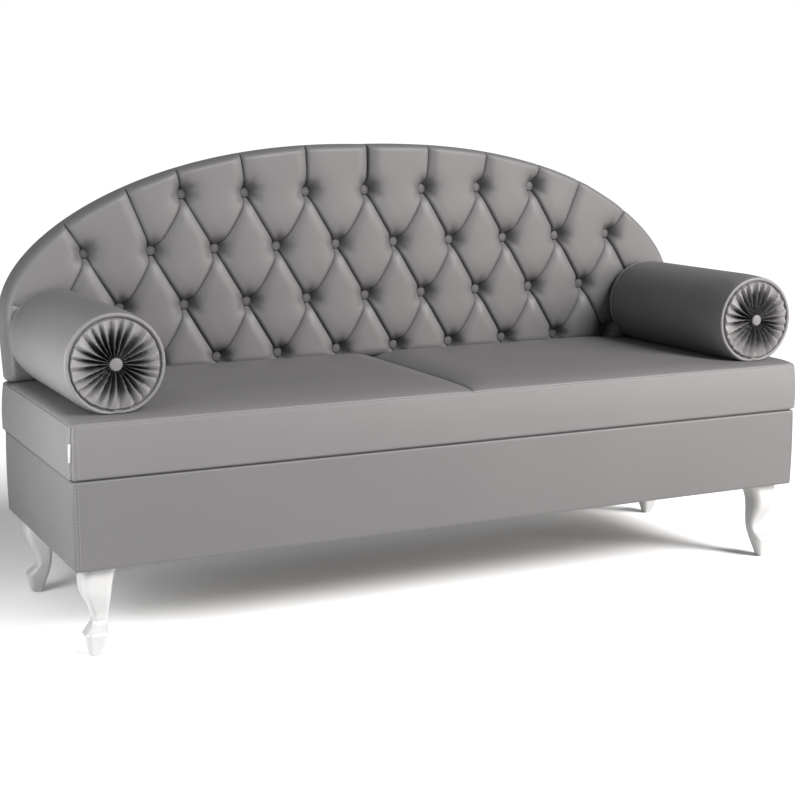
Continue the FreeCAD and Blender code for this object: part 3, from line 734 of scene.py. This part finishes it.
def seat_panel(side, along=150, across=110):
    """Height over the seam: an edge roll at three sides plus a crown that swells from all four. The crown is
    lower at the outer end, where a bolster lies, and both sink where the back pad stands over the seat."""
    half, front = seat_half - panel_inset, seat_front + panel_inset
    x = half * spaced(along, 0.85)[None, :]
    y = front + (seat_rear - front) * spaced(across, 0.85)[:, None]
    x, y = np.broadcast_arrays(x, y)
    from_front, from_rear, from_end = y - front, seat_rear - y, half - x
    valley = valley_floor + (1 - valley_floor) * roll(x, valley_roll)
    valley = valley - valley_groove * np.exp(-x / groove_width)
    edge = roll(from_front, panel_edge_roll) * roll(from_end, panel_end_roll) * valley
    crown = ease(from_front, front_swell) * ease(from_rear, rear_swell) * ease(x, valley_swell)
    near_end = bolster_share * ease(from_end, bolster_room[0])
    crown = crown * (near_end + (1 - bolster_share) * step(from_end, *bolster_room))
    under_back = 1 - panel_sink * step(y, back_low.y + sink_start, back_low.y + sink_end)
    z = seam_level + (panel_edge * edge + panel_crown * crown) * under_back
    x, y = rounded_corner(x * side, y, half, front, corner_radius - panel_inset)
    bottom = np.stack([x, y, np.full_like(z, border_top)], -1)
    return np.stack([x, y, z], -1), bottom


for side, name in ((-1, "left"), (1, "right")):
    panel = make_piece("seat_%s_panel" % name, slab(*seat_panel(side)), upholstery, "seat_%s_top" % name)

# %% [markdown]
# ## Borders and covers that follow the plan
# The seat's border and the base's cover go round the plan of the sofa, with small rounded corners that are
# sewn at the middle. One section is drawn for each, as distances out from the plan and heights, and it is
# carried along the path. The path is cut at the corners, where the real strips are sewn together.


# %% Paths and sections
seam_width = 1.8 * MM
strip_parts = "front", "left", "right"


def plan_path(half, front, rear, radius, part, steps=60, turns=14):
    """Points and outward directions along the front or one end, up to the middle of the rounded corners."""
    turn = np.linspace(0, np.pi / 4, turns)
    arc = np.stack([np.sin(turn), -np.cos(turn)], -1)
    if part == "front":
        corner = arc * radius + [half - radius, front + radius]
        straight = np.stack([(half - radius) * np.linspace(-1, 1, steps), np.full(steps, front)], -1)
        path = np.concatenate([corner[::-1] * [-1, 1], straight[1:-1], corner])
        out = np.concatenate([arc[::-1] * [-1, 1], np.tile([0.0, -1.0], (steps - 2, 1)), arc])
        return path, out
    arc = arc[:, ::-1] * [-1, -1]
    corner = arc * radius + [half - radius, front + radius]
    straight = np.stack([np.full(steps, half), np.linspace(front + radius, rear, steps)], -1)
    path = np.concatenate([corner[::-1], straight[1:]])
    out = np.concatenate([arc[::-1], np.tile([1.0, 0.0], (steps - 1, 1))])
    mirror = [-1, 1] if part == "left" else [1, 1]
    return path * mirror, out * mirror


def swept(path, out, section, hub=None):
    """A closed section (out, height) carried along a path, with both ends closed by a fan from a hub: a place
    in the section from which all of it is seen, or else its middle."""
    x = path[:, None, 0] + out[:, None, 0] * section[None, :, 0]
    y = path[:, None, 1] + out[:, None, 1] * section[None, :, 0]
    grid = np.stack([x, y, np.broadcast_to(section[None, :, 1], x.shape)], -1)
    hub = section.mean(0) if hub is None else np.asarray(hub)
    flat_hub = path + out * hub[0]
    hubs = np.column_stack([flat_hub, np.full(len(path), hub[1])])[[0, -1], None]
    first, last = np.broadcast_to(hubs, (2,) + grid.shape[1:])
    return ringed(np.concatenate([first[None], grid, last[None]]))


def cover_strip(plan, part, section, sewn, hub=None):
    """A section carried along one part of a plan (half, front, rear, corner radius), and drawn in at the
    corner seams by a bell curve of the length along the strip."""
    path, out = plan_path(*plan, part)
    gone = lengths_along(path)
    far = np.minimum(gone, gone[-1] - gone) if part == "front" else gone
    drawn = sewn * np.exp(-((far / seam_width) ** 2))
    return swept(path - out * drawn[:, None], out, section, hub)


def quarter(start, end, count=7, upright_first=True):
    """A quarter of an ellipse from one corner of a section to another."""
    t = np.linspace(0, np.pi / 2, count)
    a, b = (1 - np.cos(t), np.sin(t)) if upright_first else (np.sin(t), 1 - np.cos(t))
    return np.stack([start[0] + (end[0] - start[0]) * a, start[1] + (end[1] - start[1]) * b], -1)


# %% [markdown]
# ## The seat's border
# The border is a strip of leather over the edge of the foam. It hangs from the panel's seam, bulges a little,
# leans out towards its lower edge and turns under there, where it leaves a dark line above the base.

# %% Seat border
border_bulge = 2.5 * MM
border_lean = 5.0 * MM
border_turn = 4 * MM
border_seat = base_top + 4.8 * MM
border_foot = base_top + 0.8 * MM
border_edge = 3 * MM
border_inner = -6 * MM
border_tuck = -13 * MM
border_sewn = 2.0 * MM
lap = 0.8 * MM


def border_out(z):
    """How far the border stands out at a height: a bulge plus a lean towards the lower edge."""
    share = (seam_level - z) / (seam_level - border_seat)
    return border_bulge * np.sin(np.pi * np.clip(share, 0, 1)) + border_lean * share


face = np.linspace(seam_level - border_edge, border_seat + border_turn, 26)
face_line = np.stack([border_out(face), face], -1)
top_turn = quarter((-border_edge, seam_level), face_line[0], upright_first=False)
low_turn = quarter(face_line[-1], (-1 * MM, border_seat))
inside_line = np.array([[border_inner, border_seat], [border_inner, border_foot],
                        [border_tuck, border_foot], [border_tuck, border_seat + 4 * MM],
                        [border_inner, border_seat + 8 * MM], [border_inner, seam_level]])
border_section = np.concatenate([top_turn, face_line[1:], low_turn[1:], inside_line])
border_plan = seat_half, seat_front, seat_rear + lap, corner_radius
border_hub = border_inner, border_seat + 1 * MM
for part in strip_parts:
    strip = make_piece("seat_%s_border_strip" % part,
                       cover_strip(border_plan, part, border_section, border_sewn, border_hub), upholstery,
                       "seat_%s_border" % part)

# %% [markdown]
# ## The base cover
# Below the seat a firm box is covered with the same leather over thin padding. Its strips turn in over the
# top and the bottom edge.

# %% Base covers
base_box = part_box("base_front_cover")
base_half = base_box[1].x
base_front, base_rear = base_box[0].y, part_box("base_left_cover")[1].y
base_low = base_box[0].z
base_stand = 1.2 * MM
base_bulge = 1.5 * MM
base_turn = 4 * MM
base_corner = 3 * MM
base_lap = 1.2 * MM
base_sewn = 0.6 * MM
base_edge, base_inner, base_flap = -2.5 * MM, -2.2 * MM, -12 * MM
flap_depth = 0.4 * MM


def base_out(z):
    """A shallow bulge between the two turned edges."""
    share = (z - base_low) / (base_top - base_low)
    return base_stand + base_bulge * np.sin(np.pi * np.clip(share, 0, 1))


face = np.linspace(base_top - base_turn, base_low + base_turn, 24)
face_line = np.stack([base_out(face), face], -1)
top_turn = quarter((base_edge, base_top + base_lap), face_line[0], upright_first=False)
top_flap = [[base_flap, base_top - flap_depth], [base_flap, base_top + base_lap]]
low_turn = quarter(face_line[-1], (base_edge, base_low - base_lap))
low_flap = [[base_flap, base_low - base_lap], [base_flap, base_low + flap_depth],
            [base_inner, base_low + 2 * MM], [base_inner, base_top - 2 * MM]]
cover_section = np.concatenate([top_flap, top_turn, face_line[1:], low_turn[1:], low_flap])
base_plan = base_half, base_front, base_rear + lap, base_corner
# The base strips take the darker copy of the leather, painted shade.
for part in strip_parts:
    make_piece("base_%s_strip" % part, cover_strip(base_plan, part, cover_section, base_sewn), base_leather_painted_shade,
               "base_%s_cover" % part)

# %% [markdown]
# ## The bolsters
# A bolster is a tube of leather over a foam core, with piping round both ends. Each end is a disc of leather
# drawn together by a thread through a covered button, so it falls into knife pleats that lean one way round.
# Every point of it is marked with its depth in the folds, and the leather there gets painted shade, a darker
# colour deep in the folds. The gathers are also drawn in a lighter copy of the leather, a painted highlight.
# The tube is flattened where it lies on the seat.

# %% Bolster shapes
pleat_count = 24
pleat_points = 16
ridge_places = np.array([0.0, 0.12, 0.17, 0.30, 0.50, 0.75, 0.95, 1.0])
ridge_heights = np.array([3.0, 3.0, 7.0, 10.5, 12.5, 12.0, 8.0, -7.0]) * MM
valley_depths = np.array([0.0, 0.0, 20.0, 30.0, 24.0, 12.0, 6.0, 2.5]) * MM
tube_fullness, full_reach = 7 * MM, 60 * MM
tube_tuck, tuck_reach = 2.2 * MM, 9 * MM
wave_height, wave_start, wave_reach = 0.5 * MM, 20 * MM, 45 * MM
cord_sink, cord_share = 0.5 * MM, 1.2
gather_gap = 1.5 * MM
end_button_share, end_button_height = 0.45, 7 * MM
core_dish = 24 * MM
end_hollow = 45 * MM
# Painted shade: the depths below the ridges where the fold shade starts and is full, and the shares of the
# radius over which it fades out.
fold_shade = 1.5 * MM, 13 * MM
fold_reach = 0.55, 0.98


def round_axis(axis, size, angle, y, rest):
    """Points at a distance round a bolster's axis, lifted where they would lie below the rest."""
    x = axis[0] + size * np.cos(angle)
    z = np.maximum(axis[1] + size * np.sin(angle), rest)
    return np.stack(np.broadcast_arrays(x, y, z), -1)


def bolster_tube(axis, radius, front, rear, rest, rings=70, around=160):
    """A tube that is fuller in the middle, with soft waves near its ends. Each end is closed by a hollow
    cone, which leaves room for the gathered folds."""
    y = front + (rear - front) * spaced(rings, 0.8)[:, None]
    angle = circle(around)[None, :]
    from_end = np.minimum(y - front, rear - y)
    waves = np.sin(9 * angle + 1.3) + 0.7 * np.sin(14 * angle + 40 * y)
    size = radius - tube_tuck * (1 - roll(from_end, tuck_reach)) + tube_fullness * roll(from_end, full_reach)
    size = size + wave_height * waves * np.exp(-from_end / wave_reach) * roll(from_end, wave_start)
    grid = round_axis(axis, size, angle, y, rest)
    hubs = np.stack([grid[0].mean(0) + [0, end_hollow, 0], grid[-1].mean(0) - [0, end_hollow, 0]])
    first, last = np.broadcast_to(hubs[:, None, None], (2, 1) + grid.shape[1:])
    return np.concatenate([first, grid, last])


def gathered_end(axis, radius, y, facing, rest):
    """A pleated disc. The ridges rise from the piping and fall to the button; between two of them the cloth
    drops steeply on one side and climbs back slowly, and it lies deepest half way in."""
    share = np.concatenate([[1.0, 0.99, 0.98, 0.97], np.linspace(0.96, 0.16, 50), [0.10, 0.0]])[:, None]
    angle = circle(pleat_count * pleat_points)[None, :]
    ridge = np.interp(share, ridge_places, ridge_heights)
    valley = np.interp(share, ridge_places, valley_depths)
    sway = 0.18 * np.sin(3 * angle + 1.0) + 0.12 * np.sin(8 * angle + 2.0)
    swirl = 0.5 * np.sin(2 * angle + 0.6) * (1 - share)
    phase = np.mod(pleat_count * angle / (2 * np.pi) + sway + swirl, 1.0)
    between_ridges = 1 - np.abs(2 * phase ** 0.62 - 1)
    height = ridge - valley * between_ridges ** (0.3 + 0.9 * share)
    return round_axis(axis, share * radius, angle, y + facing * height, rest)


def paint_fold_shade(piece, axis, radius, ends):
    """Paint shade into a gathered end: every point gets how deep it lies below its ridges, 0 at a ridge and 1
    well below, and the leather turns darker by it.
    """
    mesh = piece.data
    flat = np.empty(3 * len(mesh.vertices), np.float32)
    mesh.vertices.foreach_get("co", flat)
    x, y, z = flat.reshape(-1, 3).T
    share = np.clip(np.hypot(x - axis[0], z - axis[1]) / radius, 0, 1)
    height = np.maximum(ends[0] - y, y - ends[1])
    below = np.interp(share, ridge_places, ridge_heights) - height
    # Painted shade: the share of the dark colour at every point.
    painted_fold_shade = step(below, *fold_shade) * (1 - step(share, *fold_reach))
    mesh.attributes.new("painted_fold_shade", "FLOAT", "POINT").data.foreach_set("value", painted_fold_shade.astype(np.float32))


def cord_ring(axis, radius, y, thick, rest, around=140, section=12):
    """Piping: a round cord carried round the end of the tube, and lifted where it lies on the seat."""
    angle, turn = circle(around)[:, None], circle(section)[None, :]
    lifted = rest + thick * (1 + np.cos(turn + angle)) * 0.1
    return round_axis(axis, radius + thick * np.cos(turn), angle, y + thick * np.sin(turn), lifted)


def dished_core(node, rings=14, around=72):
    """A foam roll whose flat ends are drawn in towards the middle by a parabola, as the thread does it."""
    low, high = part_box(node)
    radius = (high.x - low.x) / 2 - 1 * MM
    share = np.concatenate([np.linspace(0, 1, rings), np.linspace(1, 0, rings)])
    dish = core_dish * (1 - share ** 2)
    y = np.concatenate([low.y + dish[:rings], high.y - dish[rings:]])
    disc = turned(radius * share, y, around)
    return disc + [(low.x + high.x) / 2, 0.0, (low.z + high.z) / 2]


# %% Bolsters
for side in ("left", "right"):
    body = side + "_bolster"
    low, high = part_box(body + "_cover")
    ring_low, ring_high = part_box(body + "_piping")
    radius, rest = (high.x - low.x) / 2, low.z
    axis = (low.x + high.x) / 2, high.z - radius
    cord = ring_high.x - axis[0] - radius
    tube_ends = ring_low.y + cord, ring_high.y - cord
    tube = bolster_tube(axis, radius, *tube_ends, rest)
    piece = make_piece(body + "_tube", ringed(tube), upholstery, body + "_cover", body=body)
    rims = [cord_ring(axis, radius - cord_sink, y, cord_share * cord, rest) for y in tube_ends]
    make_piece(body + "_cords", many_grids(np.stack(rims), round_rows=True), piping_leather, body + "_piping",
               body=body)
    make_piece(body + "_filling", ringed(dished_core(body + "_core")), foam, body + "_core", body=body,
               slot="foam")
    end_radius = radius - cord - gather_gap
    discs = []
    for y, facing in zip(tube_ends, (-1, 1)):
        disc = gathered_end(axis, end_radius, y, facing, rest)
        hub = np.broadcast_to([axis[0], y - facing * end_hollow, axis[1]], disc[0].shape)
        discs.append(np.concatenate([[hub], disc])[:, ::-facing])
    piece = make_piece(body + "_gathers", many_grids(np.stack(discs)), gather_leather_painted_light, body + "_ends",
                       body=body)
    # Painted shade deep in the folds of the gathers.
    paint_fold_shade(piece, axis, end_radius, tube_ends)
    low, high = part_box(body + "_buttons")
    cap = turned(*button_profile(end_button_share * (high.x - low.x), end_button_height))
    front_cap = cap * [1, -1, 1] + [axis[0], low.y + end_button_height, axis[1]]
    rear_cap = (cap + [axis[0], high.y - end_button_height, axis[1]])[:, ::-1]
    make_piece(body + "_end_buttons", many_grids(np.stack([front_cap, rear_cap])), upholstery,
               body + "_buttons", body=body)

# %% [markdown]
# ## Stitches
# Seams on leather are held by a row of topstitching beside them. Each stitch is a small rounded thread,
# longer than it is thick. A row is made at even steps along a line, with a direction along the seam and one
# outward.


# %% Stitch rows
stitch_length = 4.6 * MM
stitch_thick = 0.6 * MM
stitch_pitch = 6.4 * MM


def even_steps(line, pitch=stitch_pitch):
    """Points at even steps along a line, and the direction of the line there."""
    gone = lengths_along(line)
    count = int(gone[-1] / pitch)
    at = (np.arange(count) + 0.5) * gone[-1] / count
    way = points_along(line, gone, at + 0.4 * pitch) - points_along(line, gone, at - 0.4 * pitch)
    return points_along(line, gone, at), way / np.linalg.norm(way, axis=1, keepdims=True)


def stitch_row(line, out):
    """Rounded threads along a line: length times cosine along it, and round it the thickness times a power of
    the sine."""
    centres, way = even_steps(line)
    side = np.cross(way, out)
    t = np.linspace(0, np.pi, 8)[None, :, None, None]
    turn = circle(8)[None, None, :, None]
    thick = stitch_thick * np.sin(t) ** 0.6
    points = centres[:, None, None] + way[:, None, None] * stitch_length / 2 * np.cos(t)
    return points + thick * (np.cos(turn) * np.asarray(out) + np.sin(turn) * side[:, None, None])


def upright_row(place, out, low, high, stand):
    """Stitches between two levels over a place in the plan; the line stands out as far as the cover does."""
    z = np.linspace(low, high, 30)[:, None]
    return stitch_row(np.concatenate([place + np.array(out[:2]) * stand(z), z], axis=1), out)


# %% [markdown]
# The seat has one row under the front seam and one on each side of its two front corners. The base has two
# rows side by side on the front, near each corner.

# %% Stitches of the seat and the base
front_way = (0.0, -1.0, 0.0)
stitch_level = seam_level - 6 * MM
seat_levels = border_seat + 8 * MM, seam_level - 9 * MM
base_levels = base_low + 6 * MM, base_top - 7 * MM
base_insets = 3.5 * MM, 10 * MM
corner_gap = corner_radius + 1 * MM
reach = seat_half - corner_radius
level_line = np.array([[x, seat_front - border_out(stitch_level), stitch_level] for x in (-reach, reach)])
seat_rows = [stitch_row(level_line, front_way)]
base_rows = []
for side in (-1, 1):
    beside = side * (seat_half - corner_gap), seat_front
    seat_rows.append(upright_row(beside, front_way, *seat_levels, border_out))
    behind = side * seat_half, seat_front + corner_gap
    seat_rows.append(upright_row(behind, (side, 0.0, 0.0), *seat_levels, border_out))
    for inset in base_insets:
        place = side * (base_half - inset), base_front
        base_rows.append(upright_row(place, front_way, *base_levels, base_out))
for name, rows in (("seat_stitches", seat_rows), ("base_stitches", base_rows)):
    make_piece(name, many_grids(np.concatenate(rows)), thread, slot="twine")

# %% [markdown]
# ## Strips at the rear
# Behind the seat and the base the leather is a plain strip that the board lies against. Its edges are turned
# in, so the section is a bar with round corners. It is carried along the rear like the other strips, and it
# hangs a little slack between the places where it is held.

# %% Rear strips
rear_slack = 0.5 * MM
slack_waves = 24


def rear_strip(node, share=0.42, around=24, steps=90):
    """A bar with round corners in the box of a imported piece, drawn in along its length by a squared sine."""
    low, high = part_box(node)
    deep, tall = high.y - low.y, high.z - low.z
    bend = share * min(deep, tall)
    turn = circle(around)
    out = (deep / 2 - bend) * np.sign(np.cos(turn).round(6)) + bend * np.cos(turn) - deep / 2
    z = (tall / 2 - bend) * np.sign(np.sin(turn).round(6)) + bend * np.sin(turn) + (low.z + high.z) / 2
    x = np.linspace(low.x, high.x, steps)
    y = high.y - rear_slack * np.sin(slack_waves * x) ** 2
    return swept(np.stack([x, y], -1), np.tile([0.0, 1.0], (steps, 1)), np.stack([out, z], -1))


make_piece("seat_rear_strip", rear_strip("seat_rear_border"), upholstery, "seat_rear_border")
make_piece("base_rear_strip", rear_strip("base_rear_cover"), base_leather_painted_shade, "base_rear_cover")

# %% [markdown]
# ## The cover of the rear
# The rear of the board carries a flat sheet of leather, turned in at its edge. From the middle of the arch
# every point of its outline can be seen, so it is a fan of rings from the middle out, and the last rings go
# round the edge.

# %% Rear cover
rear_low, rear_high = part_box("back_rear_cover")
wrap = 1.5 * MM
apron_inset = 60 * MM
apron_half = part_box("base_rear_cover")[1].x - apron_inset + wrap
apron_low = rear_low.z - wrap
rear_inset = 3 * MM
rear_front = board_low.y + 0.5 * MM
arch_hub = np.array([0.0, spring])


def rear_outline():
    """The arch a little smaller, and the apron that hangs from it down behind the base."""
    arch = outline[side_points:-side_points - 1]
    spokes = arch - arch_hub
    arch = arch_hub + spokes * (1 - rear_inset / np.linalg.norm(spokes, axis=1, keepdims=True))
    foot = [[arch_half - side_draw - rear_inset, arch_low], [apron_half, arch_low], [apron_half, apron_low]]
    lower = np.concatenate([arch[-1:], foot, np.array(foot[::-1]) * [-1, 1], arch[:1]])
    gone = lengths_along(lower)
    at = np.unique(np.concatenate([np.linspace(0, gone[-1], 260), gone]))
    return np.concatenate([arch[:-1:4], points_along(lower, gone, at)[:-1]])


def rear_panel(turn=1.4 * MM, rings=10):
    """Rings from the middle to the edge at the rear face, round the edge, and back along the board's face."""
    spokes = rear_outline() - arch_hub
    bend = np.linspace(0, np.pi / 2, 5)
    size = np.linalg.norm(spokes, axis=1)[None, :]
    inset = np.concatenate([np.full(rings, turn), turn * (1 - np.sin(bend[1:])), [0.0, turn]])[:, None]
    share = np.concatenate([np.linspace(0, 1, rings), np.ones(len(bend) + 1)])[:, None]
    edge_y = rear_high.y - turn * (1 - np.cos(bend[1:]))
    y = np.concatenate([np.full(rings, rear_high.y), edge_y, [rear_front] * 2])
    far = share * (size - inset) / size
    flat = arch_hub + spokes[None] * far[..., None]
    grid = np.stack([flat[..., 0], np.broadcast_to(y[:, None], far.shape), flat[..., 1]], -1)
    return np.concatenate([grid, np.broadcast_to([0.0, rear_front, spring], grid[:1].shape)])


make_piece("back_rear_sheet", ringed(rear_panel()), upholstery, "back_rear_cover")

# %% [markdown]
# ## The tag
# A short loop of plain white tape is caught in the front left corner seam of the seat. It is a thin closed
# sheet that stands out from the corner, bent slightly, with its fold at the outer edge.


# %% Tag
tag_width, tag_thick, tag_reach = 10 * MM, 0.5 * MM, 1 * MM
tag_start = np.array([4.5 * MM - seat_half, 4.5 * MM + seat_front])
tag_way = np.array([-0.87, -0.49])
tag_across = np.array([tag_way[1], -tag_way[0]])


def tape_loop():
    """A sheet from the seam outwards, bent by a parabola, and thicker at the fold than at the seam."""
    low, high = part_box("seat_tag")
    z = np.linspace(low.z - tag_reach, high.z + tag_reach, 16)[:, None]
    out, z = np.broadcast_arrays(np.linspace(0, 1, 12)[None, :], z)
    bend = 1.2 * MM * out ** 2 + 0.3 * MM * np.sin(9 * out + z * 120)
    half = tag_thick * (0.6 + 0.4 * roll(1 - out, 0.12) * out)
    def side(sign):
        plan = tag_start + tag_way * tag_width * out[..., None] + tag_across * (bend + sign * half)[..., None]
        return np.concatenate([plan, z[..., None]], axis=-1)
    return slab(side(1), side(-1))


tape, tree, shader, place = start_finish("white_tape", Roughness=0.8)
tree.links.new(shades(tree, noise_of(tree, place, 400.0), (0.34, 0.34, 0.34), (0.42, 0.42, 0.42)),
               shader.inputs["Base Color"])
bumped(tree, shader, noise_of(tree, stretched(tree, place, (300, 300, 2600)), 1.0), 0.0002, 0.4)
make_piece("seat_blank_tag", tape_loop(), tape, "seat_tag", slot="tag_cloth")

# %% [markdown]
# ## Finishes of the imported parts
# The legs, the frame inside and the fittings stay as they were packed, and only take a finish each. Lacquer
# is smooth with a clear coat; timber has a long grain; foam is open and rough; steel is brushed.


# %% Finishes for legs, frame and fittings
def lacquer():
    """White gloss paint: even, with the faintest orange peel."""
    gloss = dict(Roughness=0.28, Coat_Weight=0.6, Coat_Roughness=0.06)
    finish, tree, shader, place = start_finish("white_lacquer", **gloss)
    tree.links.new(shades(tree, noise_of(tree, place, 12.0), (0.33, 0.33, 0.33), (0.36, 0.36, 0.36)),
                   shader.inputs["Base Color"])
    bumped(tree, shader, noise_of(tree, place, 350.0), 0.0001, 0.10)
    return finish


def wood(name, dark, light, grain):
    """Sawn wood: noise drawn out along the grain."""
    return noisy(name, dark, light, 1.0, (0.4 * MM, 0.3), 5.0, grain, 0.75)


def metal(name, shade, roughness, metallic):
    """Plated or blackened steel with fine scratches in its gloss."""
    finish, tree, shader, place = start_finish(name, Metallic=metallic)
    tint = np.array([1.0, 1.0, 0.98]) * shade
    tree.links.new(shades(tree, noise_of(tree, place, 90.0), tint * 0.9, tint), shader.inputs["Base Color"])
    scratches = noise_of(tree, stretched(tree, place, (900, 900, 60)), 1.0)
    tree.links.new(between(tree, scratches, roughness, roughness + 0.15), shader.inputs["Roughness"])
    return finish


white_lacquer = lacquer()
softwood = wood("sawn_softwood", (0.42, 0.29, 0.16), (0.60, 0.45, 0.28), (6, 90, 90))
plywood = wood("bare_plywood", (0.46, 0.33, 0.19), (0.62, 0.48, 0.31), (5, 60, 60))
strap = rough_cloth("woven_webbing", (0.22, 0.17, 0.12), (0.38, 0.31, 0.23), 600.0)
felt = rough_cloth("black_dust_cloth", (0.015, 0.015, 0.015), (0.035, 0.035, 0.035), 700.0)
cord_finish = rough_cloth("waxed_twine", (0.60, 0.56, 0.48), (0.78, 0.75, 0.67), 1200.0, 0.6)
zinc = metal("zinc_plated_steel", 0.62, 0.30, 1.0)
black_steel = metal("black_oxide_steel", 0.03, 0.40, 0.6)
glide = rough_cloth("glide_plastic", (0.72, 0.72, 0.70), (0.80, 0.80, 0.78), 300.0, 0.45)

finish_words = {"_leg": white_lacquer, "leg_studs": zinc, "leg_nuts": zinc, "leg_glides": glide,
                "_rail": softwood, "base_ribs": softwood, "base_corner_blocks": softwood,
                "base_seat_cleats": softwood, "back_board": plywood, "padding": foam, "_foam": foam,
                "seat_webbing": strap, "base_dust_cloth": felt, "back_button_twines": cord_finish,
                "_bolts": black_steel, "back_t_nuts": zinc}
dressed = 0
for name, node in nodes.items():
    match = [finish for word, finish in finish_words.items() if name.endswith(word)]
    if match:
        node.data.materials.clear()
        node.data.materials.append(match[0])
        dressed += 1
print("packed parts with a finish:", dressed)
